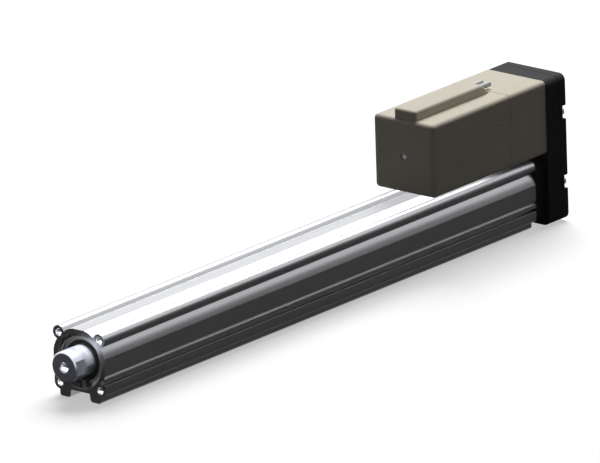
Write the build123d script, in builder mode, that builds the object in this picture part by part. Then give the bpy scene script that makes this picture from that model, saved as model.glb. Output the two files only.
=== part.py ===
"""Rod type electric cylinder with its motor parallel to the rod and a belt drive at the rear.

The rod comes out along +X, the motor lies above the rod, and the feet stand on Z = 0.
Stations along the cylinder are depths behind the front face of the body.
"""

from math import cos, degrees, pi, sin

from build123d import *
import os

os.makedirs("parts", exist_ok=True)

# Fits
running_gap = 0.05
sliding_gap = 0.08
soft_gap = 0.3
screw_gap = 0.05
hole_clearance = 0.3

# Stroke and reach
stroke = 400.0
rod_projection = 18.5

# Extruded body
rod_height = 31.0
tube_width = 51.0
barrel_rise = 0.7
bore_wall = 5.7
boss_radius = 5.5
port_radius = 2.5
port_depth = 10.0
port_chamfer = 0.7
cover_bore_step = 1.5
guide_reach = 1.8
guide_width = 6.0
slot_block_drop = 9.7
slot_block_height = 10.3
slot_drop = 14.0
slot_mouth = 2.6
slot_pocket_radius = 2.1
slot_pocket_depth = 2.6
foot_span = 40.6
foot_chamfer = 1.5
channel_depth = 6.65
channel_mouth = 20.4
channel_ceiling = 18.4

# Base holes
base_hole_radius = 2.5
base_hole_depth = 8.5
base_hole_first = 25.0
base_hole_pitch = 160.0
base_hole_rows = 4
base_hole_width = 30.0
locating_radius = 2.5
locating_depth = 6.0
locating_slot_length = 6.0

# Front end
ring_groove_front = 3.0
ring_thickness = 1.6
ring_groove_step = 1.0
ring_section = 3.3
ring_lug_radius = 2.5
ring_lug_drop = 1.0
ring_lug_angle = 15.0
ring_eye_radius = 1.1
ring_opening = 6.0
rod_cover_length = 34.4
seal_radius = 16.5
seal_depth = 6.0
seal_lip_width = 1.0
cover_shoulder = 1.5
bushing_radius = 14.5
bushing_length = 25.0
o_ring_front = 26.0
o_ring_width = 2.2
o_ring_section = 1.8

# Rod
rod_radius = 12.5
rod_bore_radius = 9.0
rod_engagement = 20.0
socket_length = 14.5
socket_plug_length = 14.0
socket_chamfer = 1.2
flats_across = 22.0
flats_start = 1.2
flats_length = 10.5
thread_radius = 3.4
thread_depth = 13.0
thread_mouth = 1.0

# Piston
bumper_thickness = 3.0
bumper_gap = 0.5
piston_gap = 0.5
piston_land = 7.0
magnet_length = 8.0
magnet_groove_depth = 3.5
magnet_drop = 0.4
groove_land = 5.0
wear_ring_length = 10.0
wear_groove_depth = 1.5
stopper_length = 12.0
stopper_groove_depth = 3.0
piston_tail = 13.0
ring_split = 1.0
nut_radius = 11.0
nut_flange_radius = 15.0
nut_flange_length = 6.0

# Ball screw
screw_radius = 6.0
screw_nose_radius = 4.0
screw_lead_in = 4.0
holder_length = 12.0
holder_radius = 8.6
holder_groove_radius = 7.6
screw_ring_length = 6.0
journal_radius = 5.0
pulley_seat_radius = 4.0
shaft_end_gap = 1.0

# Bearing housing
spigot_length = 20.0
spigot_wall = 6.0
housing_flange_length = 10.0
bearing_width = 8.0
bearing_rows = 2
bearing_outer_radius = 13.0
bearing_pitch_radius = 9.0
bearing_land_gap = 1.6
ball_radius = 2.38
ball_gap = 0.04
ball_count = 7
stopper_ring_radius = 14.0
stopper_ring_bore = 8.8
stopper_ring_length = 5.0
spanner_hole_radius = 1.2
lock_nut_radius = 8.2

# Belt drive
tooth_pitch = 2.0
pulley_teeth = 30
belt_teeth = 89
pitch_line_offset = 0.254
tooth_height = 0.75
tooth_root_width = 1.3
tooth_tip_width = 0.9
tooth_gap = 0.1
belt_thickness = 0.63
belt_width = 9.0
pulley_side_gap = 0.5
pulley_flange_thickness = 1.0
pulley_flange_radius = 11.2
pulley_hub_radius = 7.0
set_screw_radius = 1.5

# Drive box
box_width = 61.0
box_bottom = 1.5
box_corner = 5.5
box_depth = 16.0
box_wall = 3.0
cavity_web = 0.3
parting_chamfer = 0.4
hub_hole_radius = 9.0
plate_thickness = 8.0
plate_screw_pitch = 57.0
plate_screw_inset = 4.5
plate_pocket_radius = 5.6
plate_pocket_depth = 4.0

# Screws
m4_shank_radius = 2.0
m4_head_radius = 3.5
m4_head_height = 4.0
m4_low_head_height = 3.4
m4_key_width = 3.0
m6_shank_radius = 3.0
m6_head_radius = 5.0
m6_head_height = 6.0
m6_key_width = 5.0
plate_screw_grip = 9.0
body_screw_grip = 13.5
adapter_screw_grip = 6.0
motor_bolt_grip = 6.0
head_room = 0.3
counterbore_gap = 0.2

# Motor
motor_size = 55.2
motor_corner = 2.0
adapter_length = 8.0
adapter_screw_pitch = 34.0
motor_bolt_inset = 4.4
pilot_radius = 19.05
pilot_length = 1.6
drive_bell_length = 10.0
stator_length = 48.0
stator_corner = 5.0
stator_bore_radius = 15.0
winding_count = 8
winding_width = 7.0
winding_height = 9.0
winding_inset = 1.0
rear_bell_length = 12.0
motor_bearing_length = 7.0
motor_bearing_radius = 11.0
motor_bearing_split = 8.1
bell_hole_radius = 6.0
shaft_radius = 4.0
rotor_radius = 14.7
rotor_end_gap = 2.0
encoder_length = 22.0
encoder_radius = 22.0
encoder_wall = 1.5
disc_radius = 18.0
disc_thickness = 0.8
disc_hub_radius = 7.0
disc_hub_length = 5.0
board_size = 40.0
board_thickness = 1.6
connector_width = 18.0
connector_height = 8.0
connector_length = 8.0
shaft_nose = 8.0
override_radius = 2.4
override_slot_width = 0.8
override_slot_depth = 1.2
override_recess = 1.4

# Motor covers
cover_wall = 1.6
cover_gap = 0.6
cover_lift = 0.5
cover_front_wall = 2.2
cover_fillet = 3.4
front_cover_length = 96.0
rear_cover_length = 44.2
seam_gap = 0.5
lap_length = 3.0
lap_thickness = 0.8
override_hole_radius = 2.9
slit_height = 1.1
slit_length = 14.0
slit_spacing = 24.0
duct_front_inset = 1.5
duct_rear_inset = 1.0
duct_width = 21.8
duct_height = 8.1
duct_slope = 1.25
duct_corner = 2.4
duct_side = 1.0
duct_root = 1.2
duct_bore_width = 18.0
duct_bore_height = 5.8
duct_floor = 0.9
duct_wall = 3.0
duct_opening_length = 46.0
grommet_length = 9.0
lead_radius = 2.3
lead_pitch = 7.5
lead_bend = 7.0
lead_stub = 7.0

# Radii and widths that follow from the sizes above
barrel_radius = tube_width / 2 + barrel_rise
bore_radius = barrel_radius - bore_wall
bolt_pitch = tube_width - 2 * boss_radius
cover_bore_radius = bore_radius + cover_bore_step
ring_outer_radius = cover_bore_radius + ring_groove_step
ring_inner_radius = ring_outer_radius - ring_section
ring_lug_reach = ring_inner_radius - ring_lug_drop
piston_radius = bore_radius - piston_gap
magnet_radius = piston_radius - magnet_drop
magnet_groove_radius = piston_radius - magnet_groove_depth
wear_groove_radius = piston_radius - wear_groove_depth
stopper_groove_radius = piston_radius - stopper_groove_depth
cavity_radius = bolt_pitch / 2 - m6_head_radius - counterbore_gap - cavity_web
motor_bolt_pitch = motor_size - 2 * motor_bolt_inset

# Depths behind the front face that follow from the sizes above
rod_cover_front = ring_groove_front + ring_thickness
rod_cover_back = rod_cover_front + rod_cover_length
seal_back = rod_cover_front + seal_depth
bushing_front = seal_back + cover_shoulder
front_bumper_back = rod_cover_back + bumper_thickness
piston_front = front_bumper_back + bumper_gap + stroke
magnet_front = piston_front + piston_land
wear_ring_front = magnet_front + magnet_length + groove_land
stopper_front = wear_ring_front + wear_ring_length + groove_land
piston_back = stopper_front + stopper_length + piston_tail
nut_front = piston_front + rod_engagement
nut_flange_front = piston_back - nut_flange_length
rear_bumper_front = piston_back + bumper_gap
housing_front = rear_bumper_front + bumper_thickness
tube_length = housing_front + spigot_length
box_front = tube_length + housing_flange_length
box_back = box_front + box_depth
body_length = box_back + plate_thickness
bearing_front = housing_front + spigot_wall
bearing_back = bearing_front + bearing_rows * bearing_width
stopper_ring_back = bearing_back + stopper_ring_length
cavity_front = box_front + box_wall
shaft_end = box_back - shaft_end_gap
rod_front = -rod_projection + socket_length
screw_front = front_bumper_back + screw_lead_in
screw_shoulder = screw_front + holder_length
belt_front = (cavity_front + box_back - belt_width) / 2
pulley_front = belt_front - pulley_side_gap
pulley_width = belt_width + 2 * pulley_side_gap
hub_front = stopper_ring_back + pulley_side_gap

# Motor depths
adapter_front = box_front - adapter_length
drive_bell_front = adapter_front - drive_bell_length
stator_front = drive_bell_front - stator_length
rear_bell_front = stator_front - rear_bell_length
encoder_front = rear_bell_front - encoder_length
board_front = encoder_front - board_thickness
seam_depth = box_front - rear_cover_length
cover_front = seam_depth - front_cover_length
shaft_front = board_front - shaft_nose
override_front = cover_front + override_recess

# Heights
pulley_pitch_radius = pulley_teeth * tooth_pitch / (2 * pi)
pulley_tip_radius = pulley_pitch_radius - pitch_line_offset
axis_spacing = (belt_teeth - pulley_teeth) * tooth_pitch / 2
motor_height = rod_height + axis_spacing
box_height = motor_height + box_width / 2 - box_bottom
box_middle = box_bottom + box_height / 2
cover_inner_size = motor_size + 2 * cover_gap
cover_size = cover_inner_size + 2 * cover_wall
cover_middle = motor_height + cover_lift
cover_top = cover_middle + cover_size / 2
duct_bore_middle = cover_top + duct_floor + duct_bore_height / 2

# The whole cylinder, rod end to rear plate, is centred on X = 0
front_x = (rod_projection + body_length) / 2 - rod_projection


def square_plane(depth, height, side=0):
    """Plane square to the rod at a depth, height and side, facing forward."""
    return Plane(origin=(front_x - depth, side, height), x_dir=(0, 1, 0), z_dir=(1, 0, 0))


def rod_plane(depth):
    """Plane square to the rod, centred on the rod axis."""
    return square_plane(depth, rod_height)


def motor_plane(depth):
    """Plane square to the rod, centred on the motor axis."""
    return square_plane(depth, motor_height)


def section_plane(height, side=0):
    """Upright plane along the cylinder, with x as the depth and y as the height above its own."""
    return Plane(origin=(front_x, side, height), x_dir=(-1, 0, 0), z_dir=(0, 1, 0))


rod_section = section_plane(rod_height)
duct_section = section_plane(cover_top, duct_side)
rod_axis = Axis((front_x, 0, rod_height), (1, 0, 0))
base_plane = Plane(origin=(front_x, 0, 0), x_dir=(-1, 0, 0), z_dir=(0, 0, -1))


def finish(builder, name):
    """Label a finished piece and write it."""
    builder.part.label = name
    export_step(builder.part, f"parts/{name}.step")


# Body tube: one extrusion with the bore, guide grooves, switch slots and feet
with BuildPart() as body_tube:
    with BuildSketch(rod_plane(0)) as tube_profile:
        Circle(barrel_radius)
        with GridLocations(bolt_pitch, bolt_pitch, 2, 2):
            Circle(boss_radius)
        with Locations((0, -slot_block_drop)):
            Rectangle(tube_width, slot_block_height, align=(Align.CENTER, Align.MAX))
        with Locations((0, -bolt_pitch / 2)):
            Rectangle(foot_span, rod_height - bolt_pitch / 2, align=(Align.CENTER, Align.MAX))
        with Locations((0, tube_width / 2)):
            Rectangle(
                tube_width,
                tube_width / 2 + rod_height,
                align=(Align.CENTER, Align.MAX),
                mode=Mode.INTERSECT,
            )
        Polygon(
            (-channel_mouth / 2, -rod_height),
            (channel_mouth / 2, -rod_height),
            (channel_ceiling / 2, channel_depth - rod_height),
            (-channel_ceiling / 2, channel_depth - rod_height),
            align=None,
            mode=Mode.SUBTRACT,
        )
        chamfer(tube_profile.vertices().group_by(Axis.Y)[0], foot_chamfer)
        Circle(bore_radius, mode=Mode.SUBTRACT)
        Rectangle(2 * (bore_radius + guide_reach), guide_width, mode=Mode.SUBTRACT)
        for side in (-1, 1):
            with Locations((side * tube_width / 2, -slot_drop)):
                Rectangle(2 * slot_pocket_depth, slot_mouth, mode=Mode.SUBTRACT)
            with Locations((side * (tube_width / 2 - slot_pocket_depth), -slot_drop)):
                Circle(slot_pocket_radius, mode=Mode.SUBTRACT)
    extrude(amount=-tube_length)
    with BuildSketch(rod_plane(0)):
        Circle(cover_bore_radius)
    extrude(amount=-rod_cover_back, mode=Mode.SUBTRACT)
    with BuildSketch(rod_plane(ring_groove_front)):
        Circle(ring_outer_radius)
    extrude(amount=-ring_thickness, mode=Mode.SUBTRACT)
    with Locations(rod_plane(0)):
        with GridLocations(bolt_pitch, bolt_pitch, 2, 2):
            CounterSinkHole(port_radius, port_radius + port_chamfer, depth=port_depth)
    with BuildSketch(rod_plane(tube_length - body_screw_grip - head_room)):
        with GridLocations(bolt_pitch, bolt_pitch, 2, 2):
            Circle(m6_shank_radius + screw_gap)
    extrude(amount=-(body_screw_grip + head_room), mode=Mode.SUBTRACT)
    with Locations(base_plane):
        for row in range(base_hole_rows):
            for side in (-1, 1):
                with Locations((base_hole_first + row * base_hole_pitch, side * base_hole_width / 2)):
                    Hole(base_hole_radius, depth=base_hole_depth)
        with Locations((base_hole_first + base_hole_pitch / 2, base_hole_width / 2)):
            Hole(locating_radius, depth=locating_depth)
    with BuildSketch(base_plane):
        slot_station = base_hole_first + (base_hole_rows - 2) * base_hole_pitch + base_hole_pitch / 2
        with Locations((slot_station, base_hole_width / 2)):
            SlotOverall(locating_slot_length, 2 * locating_radius)
    extrude(amount=-locating_depth, mode=Mode.SUBTRACT)
finish(body_tube, "body_tube")

# Rod cover: turned sleeve that carries the bushing, the rod seal and the O-ring
with BuildPart() as rod_cover:
    o_ring_back = rod_cover_front + o_ring_front + o_ring_width
    with BuildSketch(rod_section):
        with BuildLine():
            Polyline(
                (rod_cover_front, seal_radius),
                (rod_cover_front, cover_bore_radius),
                (rod_cover_front + o_ring_front, cover_bore_radius),
                (rod_cover_front + o_ring_front, cover_bore_radius - o_ring_section),
                (o_ring_back, cover_bore_radius - o_ring_section),
                (o_ring_back, cover_bore_radius),
                (rod_cover_back, cover_bore_radius),
                (rod_cover_back, bushing_radius),
                (bushing_front, bushing_radius),
                (bushing_front, rod_radius + soft_gap),
                (seal_back, rod_radius + soft_gap),
                (seal_back, seal_radius),
                close=True,
            )
        make_face()
    revolve(axis=rod_axis)
finish(rod_cover, "rod_cover")

with BuildPart() as rod_cover_o_ring:
    with BuildSketch(rod_section):
        with Locations((rod_cover_front + o_ring_front + o_ring_width / 2, cover_bore_radius)):
            Rectangle(o_ring_section, o_ring_section, align=(Align.CENTER, Align.MAX))
    revolve(axis=rod_axis)
finish(rod_cover_o_ring, "rod_cover_o_ring")

# Rod seal: wiper lip leaning forward on the rod
with BuildPart() as rod_seal:
    lip_radius = rod_radius + sliding_gap
    with BuildSketch(rod_section):
        with BuildLine():
            Polyline(
                (rod_cover_front, lip_radius),
                (rod_cover_front, lip_radius + seal_lip_width),
                (rod_cover_front + seal_lip_width, lip_radius + 2 * seal_lip_width),
                (rod_cover_front + seal_lip_width, seal_radius),
                (seal_back, seal_radius),
                (seal_back, lip_radius + seal_lip_width),
                (rod_cover_front + 2 * seal_lip_width, lip_radius + seal_lip_width),
                (rod_cover_front + seal_lip_width, lip_radius),
                close=True,
            )
        make_face()
    revolve(axis=rod_axis)
finish(rod_seal, "rod_seal")

with BuildPart() as rod_bushing:
    with BuildSketch(rod_plane(bushing_front)):
        Circle(bushing_radius)
        Circle(rod_radius + running_gap, mode=Mode.SUBTRACT)
    extrude(amount=-bushing_length)
finish(rod_bushing, "rod_bushing")

# Retaining ring: sprung open ring with an eye at each end for the pliers
with BuildPart() as retaining_ring:
    with BuildSketch(rod_plane(ring_groove_front)):
        Circle(ring_outer_radius)
        Circle(ring_inner_radius, mode=Mode.SUBTRACT)
        with PolarLocations(ring_lug_reach, 2, -90 - ring_lug_angle, 2 * ring_lug_angle, endpoint=True):
            Circle(ring_lug_radius)
        with Locations((0, -ring_outer_radius)):
            Rectangle(ring_opening, 2 * (ring_outer_radius - ring_inner_radius) + ring_lug_radius,
                      mode=Mode.SUBTRACT)
        with PolarLocations(ring_lug_reach, 2, -90 - ring_lug_angle, 2 * ring_lug_angle, endpoint=True):
            Circle(ring_eye_radius, mode=Mode.SUBTRACT)
    extrude(amount=-ring_thickness)
finish(retaining_ring, "retaining_ring")

# Bumpers: urethane rings on the rod cover and on the bearing housing
with BuildPart() as front_bumper:
    with BuildSketch(rod_plane(rod_cover_back)):
        Circle(bore_radius - soft_gap)
        Circle(rod_radius + 3 * soft_gap, mode=Mode.SUBTRACT)
    extrude(amount=-bumper_thickness)
finish(front_bumper, "front_bumper")

with BuildPart() as rear_bumper:
    with BuildSketch(rod_plane(rear_bumper_front)):
        Circle(bore_radius - soft_gap)
        Circle(bearing_outer_radius - 2 * bearing_land_gap, mode=Mode.SUBTRACT)
    extrude(amount=-bumper_thickness)
finish(rear_bumper, "rear_bumper")

# Piston rod: chromed tube around the free end of the screw
with BuildPart() as piston_rod:
    with BuildSketch(rod_plane(rod_front)):
        Circle(rod_radius)
        Circle(rod_bore_radius, mode=Mode.SUBTRACT)
    extrude(amount=-(nut_front - rod_front))
finish(piston_rod, "piston_rod")

# Rod socket: plugged into the rod, with four wrench flats and a female thread
with BuildPart() as rod_socket:
    with BuildSketch(rod_section):
        with BuildLine():
            Polyline(
                (-rod_projection + thread_depth, 0),
                (-rod_projection + thread_depth, thread_radius),
                (-rod_projection + thread_mouth, thread_radius),
                (-rod_projection, thread_radius + thread_mouth),
                (-rod_projection, rod_radius - socket_chamfer),
                (-rod_projection + socket_chamfer, rod_radius),
                (rod_front, rod_radius),
                (rod_front, rod_bore_radius),
                (rod_front + socket_plug_length, rod_bore_radius),
                (rod_front + socket_plug_length, 0),
                close=True,
            )
        make_face()
    revolve(axis=rod_axis)
    with BuildSketch(rod_plane(flats_start - rod_projection)):
        Circle(rod_radius + socket_chamfer)
        Rectangle(flats_across, flats_across, mode=Mode.SUBTRACT)
    extrude(amount=-flats_length, mode=Mode.SUBTRACT)
finish(rod_socket, "rod_socket")

# Piston: carries the rod, the nut, the magnet, the wear ring and the rotation stopper
with BuildPart() as piston:
    with BuildSketch(rod_section):
        with BuildLine():
            Polyline(
                (piston_front, rod_radius),
                (piston_front, piston_radius),
                (piston_back, piston_radius),
                (piston_back, nut_flange_radius),
                (nut_flange_front, nut_flange_radius),
                (nut_flange_front, nut_radius),
                (nut_front, nut_radius),
                (nut_front, rod_radius),
                close=True,
            )
        make_face()
        for groove_front, groove_length, groove_radius in (
            (magnet_front, magnet_length, magnet_groove_radius),
            (wear_ring_front, wear_ring_length, wear_groove_radius),
            (stopper_front, stopper_length, stopper_groove_radius),
        ):
            with Locations((groove_front, groove_radius)):
                Rectangle(groove_length, piston_radius, align=Align.MIN, mode=Mode.SUBTRACT)
    revolve(axis=rod_axis)
finish(piston, "piston")

with BuildPart() as magnet_ring:
    with BuildSketch(rod_plane(magnet_front)):
        Circle(magnet_radius)
        Circle(magnet_groove_radius, mode=Mode.SUBTRACT)
    extrude(amount=-magnet_length)
finish(magnet_ring, "magnet_ring")

with BuildPart() as piston_wear_ring:
    with BuildSketch(rod_plane(wear_ring_front)):
        Circle(bore_radius - running_gap)
        Circle(wear_groove_radius, mode=Mode.SUBTRACT)
        with Locations((0, bore_radius)):
            Rectangle(ring_split, bore_radius, mode=Mode.SUBTRACT)
    extrude(amount=-wear_ring_length)
finish(piston_wear_ring, "piston_wear_ring")

# Rotation stopper: ring whose two keys run in the guide grooves of the bore
with BuildPart() as rotation_stopper:
    with BuildSketch(rod_plane(stopper_front)):
        Circle(piston_radius)
        Rectangle(
            2 * (bore_radius + guide_reach - sliding_gap),
            guide_width - 2 * running_gap,
        )
        Circle(stopper_groove_radius, mode=Mode.SUBTRACT)
        with Locations((0, bore_radius)):
            Rectangle(ring_split, bore_radius, mode=Mode.SUBTRACT)
    extrude(amount=-stopper_length)
finish(rotation_stopper, "rotation_stopper")

with BuildPart() as ball_nut:
    with BuildSketch(rod_plane(nut_front)):
        Circle(nut_radius)
    extrude(amount=-(nut_flange_front - nut_front))
    with BuildSketch(rod_plane(nut_flange_front)):
        Circle(nut_flange_radius)
    extrude(amount=-nut_flange_length)
    with BuildSketch(rod_plane(nut_front)):
        Circle(screw_radius + running_gap)
    extrude(amount=-(piston_back - nut_front), mode=Mode.SUBTRACT)
finish(ball_nut, "ball_nut")

# Ball screw: nose for the wear ring holder, threaded length, bearing journal and pulley seat
with BuildPart() as ball_screw:
    with BuildSketch(rod_section):
        with BuildLine():
            Polyline(
                (screw_front, 0),
                (screw_front, screw_nose_radius),
                (screw_shoulder, screw_nose_radius),
                (screw_shoulder, screw_radius),
                (bearing_front, screw_radius),
                (bearing_front, journal_radius),
                (stopper_ring_back, journal_radius),
                (stopper_ring_back, pulley_seat_radius),
                (shaft_end, pulley_seat_radius),
                (shaft_end, 0),
                close=True,
            )
        make_face()
    revolve(axis=rod_axis)
finish(ball_screw, "ball_screw")

screw_ring_front = screw_front + (holder_length - screw_ring_length) / 2
with BuildPart() as wear_ring_holder:
    with BuildSketch(rod_plane(screw_front)):
        Circle(holder_radius)
        Circle(screw_nose_radius, mode=Mode.SUBTRACT)
    extrude(amount=-holder_length)
    with BuildSketch(rod_plane(screw_ring_front)):
        Circle(holder_radius)
        Circle(holder_groove_radius, mode=Mode.SUBTRACT)
    extrude(amount=-screw_ring_length, mode=Mode.SUBTRACT)
finish(wear_ring_holder, "wear_ring_holder")

with BuildPart() as screw_wear_ring:
    with BuildSketch(rod_plane(screw_ring_front)):
        Circle(rod_bore_radius - running_gap)
        Circle(holder_groove_radius, mode=Mode.SUBTRACT)
        with Locations((0, rod_bore_radius)):
            Rectangle(ring_split, rod_bore_radius, mode=Mode.SUBTRACT)
    extrude(amount=-screw_ring_length)
finish(screw_wear_ring, "screw_wear_ring")

# Bearing housing: spigot in the bore and a flange between the body and the drive box
with BuildPart() as bearing_housing:
    with BuildSketch(rod_plane(housing_front)):
        Circle(bore_radius - running_gap)
    extrude(amount=-spigot_length)
    with BuildSketch(rod_plane(tube_length)):
        RectangleRounded(tube_width, tube_width, boss_radius)
        with GridLocations(bolt_pitch, bolt_pitch, 2, 2):
            Circle(m6_shank_radius + hole_clearance, mode=Mode.SUBTRACT)
    extrude(amount=-housing_flange_length)
    for bore_front, bore_size in (
        (housing_front, bearing_outer_radius - bearing_land_gap),
        (bearing_front, bearing_outer_radius),
        (bearing_back, stopper_ring_radius),
    ):
        with BuildSketch(rod_plane(bore_front)):
            Circle(bore_size)
        extrude(amount=-(box_front - bore_front), mode=Mode.SUBTRACT)
finish(bearing_housing, "bearing_housing")

# Screw bearings: two rows of outer races, inner races and balls
row_middles = [bearing_front + (row + 0.5) * bearing_width for row in range(bearing_rows)]
outer_land_radius = bearing_pitch_radius + bearing_land_gap
inner_land_radius = bearing_pitch_radius - bearing_land_gap
with BuildPart() as bearing_outer_races:
    for row_middle in row_middles:
        with BuildSketch(rod_section):
            with Locations((row_middle, outer_land_radius)):
                Rectangle(
                    bearing_width,
                    bearing_outer_radius - outer_land_radius,
                    align=(Align.CENTER, Align.MIN),
                )
            with Locations((row_middle, bearing_pitch_radius)):
                Circle(ball_radius + ball_gap, mode=Mode.SUBTRACT)
        revolve(axis=rod_axis)
finish(bearing_outer_races, "bearing_outer_races")

with BuildPart() as bearing_inner_races:
    for row_middle in row_middles:
        with BuildSketch(rod_section):
            with Locations((row_middle, inner_land_radius)):
                Rectangle(
                    bearing_width,
                    inner_land_radius - journal_radius,
                    align=(Align.CENTER, Align.MAX),
                )
            with Locations((row_middle, bearing_pitch_radius)):
                Circle(ball_radius + ball_gap, mode=Mode.SUBTRACT)
        revolve(axis=rod_axis)
finish(bearing_inner_races, "bearing_inner_races")

with BuildPart() as bearing_balls:
    for row_middle in row_middles:
        with Locations(rod_plane(row_middle)):
            with PolarLocations(bearing_pitch_radius, ball_count):
                Sphere(ball_radius)
finish(bearing_balls, "bearing_balls")

with BuildPart() as bearing_stopper:
    with BuildSketch(rod_plane(bearing_back)):
        Circle(stopper_ring_radius)
        Circle(stopper_ring_bore, mode=Mode.SUBTRACT)
        with PolarLocations((stopper_ring_radius + stopper_ring_bore) / 2, 2):
            Circle(spanner_hole_radius, mode=Mode.SUBTRACT)
    extrude(amount=-stopper_ring_length)
finish(bearing_stopper, "bearing_stopper")

with BuildPart() as screw_lock_nut:
    with BuildSketch(rod_plane(bearing_back)):
        RegularPolygon(lock_nut_radius, 6)
        Circle(journal_radius, mode=Mode.SUBTRACT)
    extrude(amount=-stopper_ring_length)
finish(screw_lock_nut, "screw_lock_nut")


def tooth_shape(clearance):
    """Corners of a belt tooth standing on y = 0 and pointing to -x, grown by a clearance."""
    root = tooth_root_width / 2 + clearance
    tip = tooth_tip_width / 2 + clearance
    height = tooth_height + clearance
    return ((0, -root), (0, root), (-height, tip), (-height, -tip))


def make_pulley(plane, first_groove, flanged):
    """Toothed pulley on a hub, with its first groove at an angle in degrees."""
    with BuildPart() as pulley:
        with BuildSketch(plane(pulley_front)):
            Circle(pulley_tip_radius)
            with PolarLocations(pulley_tip_radius, pulley_teeth, first_groove):
                Polygon(*tooth_shape(tooth_gap), align=None, mode=Mode.SUBTRACT)
        extrude(amount=-pulley_width)
        if flanged:
            for disc_front in (pulley_front - pulley_flange_thickness, pulley_front + pulley_width):
                with BuildSketch(plane(disc_front)):
                    Circle(pulley_flange_radius)
                extrude(amount=-pulley_flange_thickness)
        with BuildSketch(plane(hub_front)):
            Circle(pulley_hub_radius)
        extrude(amount=-(pulley_front - hub_front))
        with BuildSketch(plane(hub_front)):
            Circle(pulley_seat_radius)
        extrude(amount=-(pulley_front + 2 * pulley_width - hub_front), mode=Mode.SUBTRACT)
        with Locations(set_screw_place(plane)):
            Hole(set_screw_radius, depth=pulley_hub_radius - pulley_seat_radius)
    return pulley


def set_screw_place(plane):
    """Plane at the top of a pulley hub, facing up, where its set screw goes in."""
    middle = plane((hub_front + cavity_front) / 2).origin
    return Plane(origin=middle + Vector(0, 0, pulley_hub_radius), z_dir=(0, 0, 1))


def make_set_screw(plane):
    """Headless screw between the surface of a hub and its shaft."""
    with BuildPart() as set_screw:
        with Locations(set_screw_place(plane)):
            Cylinder(
                set_screw_radius,
                pulley_hub_radius - pulley_seat_radius - soft_gap,
                align=(Align.CENTER, Align.CENTER, Align.MAX),
            )
    return set_screw


groove_angle = 360 / pulley_teeth
motor_groove_angle = -groove_angle * (axis_spacing / tooth_pitch % 1)
finish(make_pulley(rod_plane, 0, False), "screw_pulley")
finish(make_pulley(motor_plane, motor_groove_angle, True), "motor_pulley")
finish(make_set_screw(rod_plane), "screw_pulley_set_screw")
finish(make_set_screw(motor_plane), "motor_pulley_set_screw")


def belt_tooth_place(travel):
    """Location of a belt tooth this far round the loop from the screw pulley's +Y side."""
    root_radius = pulley_tip_radius + running_gap / 2
    half_turn = pi * pulley_pitch_radius
    if travel <= axis_spacing:
        return Location((root_radius, travel))
    travel -= axis_spacing
    if travel <= half_turn:
        turn = travel / pulley_pitch_radius
        return Location((root_radius * cos(turn), axis_spacing + root_radius * sin(turn)), degrees(turn))
    travel -= half_turn
    if travel <= axis_spacing:
        return Location((-root_radius, axis_spacing - travel), 180)
    turn = pi + (travel - axis_spacing) / pulley_pitch_radius
    return Location((root_radius * cos(turn), root_radius * sin(turn)), degrees(turn))


# Timing belt: closed loop with one tooth in every groove that it wraps
with BuildPart() as timing_belt:
    belt_inner_radius = pulley_tip_radius + running_gap / 2
    with BuildSketch(rod_plane(belt_front)):
        for belt_radius, belt_mode in (
            (belt_inner_radius + belt_thickness, Mode.ADD),
            (belt_inner_radius, Mode.SUBTRACT),
        ):
            with Locations((0, axis_spacing / 2)):
                SlotCenterToCenter(axis_spacing, 2 * belt_radius, rotation=90, mode=belt_mode)
        with Locations(*[belt_tooth_place(tooth * tooth_pitch) for tooth in range(belt_teeth)]):
            Polygon(*tooth_shape(0), align=None)
    extrude(amount=-belt_width)
finish(timing_belt, "timing_belt")


def box_plane(depth):
    """Plane square to the rod, centred on the drive box."""
    return square_plane(depth, box_middle)


plate_screw_reach = box_width / 2 - plate_screw_inset

# Drive box: casting open to the rear, with a belt chamber and screw seats
with BuildPart() as return_box:
    with BuildSketch(box_plane(box_front)) as box_profile:
        Rectangle(box_width, box_height)
        fillet(box_profile.vertices(), box_corner)
    extrude(amount=-box_depth)
    chamfer(return_box.edges().group_by(Axis.X)[0], parting_chamfer)
    with BuildSketch(rod_plane(cavity_front)):
        with Locations((0, axis_spacing / 2)):
            SlotCenterToCenter(axis_spacing, 2 * cavity_radius, rotation=90)
    extrude(amount=-(box_depth - box_wall), mode=Mode.SUBTRACT)
    for axis_plane, pitch, shank_radius, head_radius, head_height in (
        (rod_plane, bolt_pitch, m6_shank_radius, m6_head_radius, m6_head_height),
        (motor_plane, adapter_screw_pitch, m4_shank_radius, m4_head_radius, m4_head_height),
    ):
        with BuildSketch(axis_plane(box_front)):
            Circle(hub_hole_radius)
            with GridLocations(pitch, pitch, 2, 2):
                Circle(shank_radius + hole_clearance)
        extrude(amount=-box_depth, mode=Mode.SUBTRACT)
        with BuildSketch(axis_plane(box_back - head_height - head_room)):
            with GridLocations(pitch, pitch, 2, 2):
                Circle(head_radius + counterbore_gap)
        extrude(amount=-(head_height + head_room), mode=Mode.SUBTRACT)
    with BuildSketch(box_plane(box_back - plate_screw_grip - head_room)):
        with GridLocations(2 * plate_screw_reach, plate_screw_pitch, 2, 2):
            Circle(m4_shank_radius + screw_gap)
    extrude(amount=-(plate_screw_grip + head_room), mode=Mode.SUBTRACT)
finish(return_box, "return_box")

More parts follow.
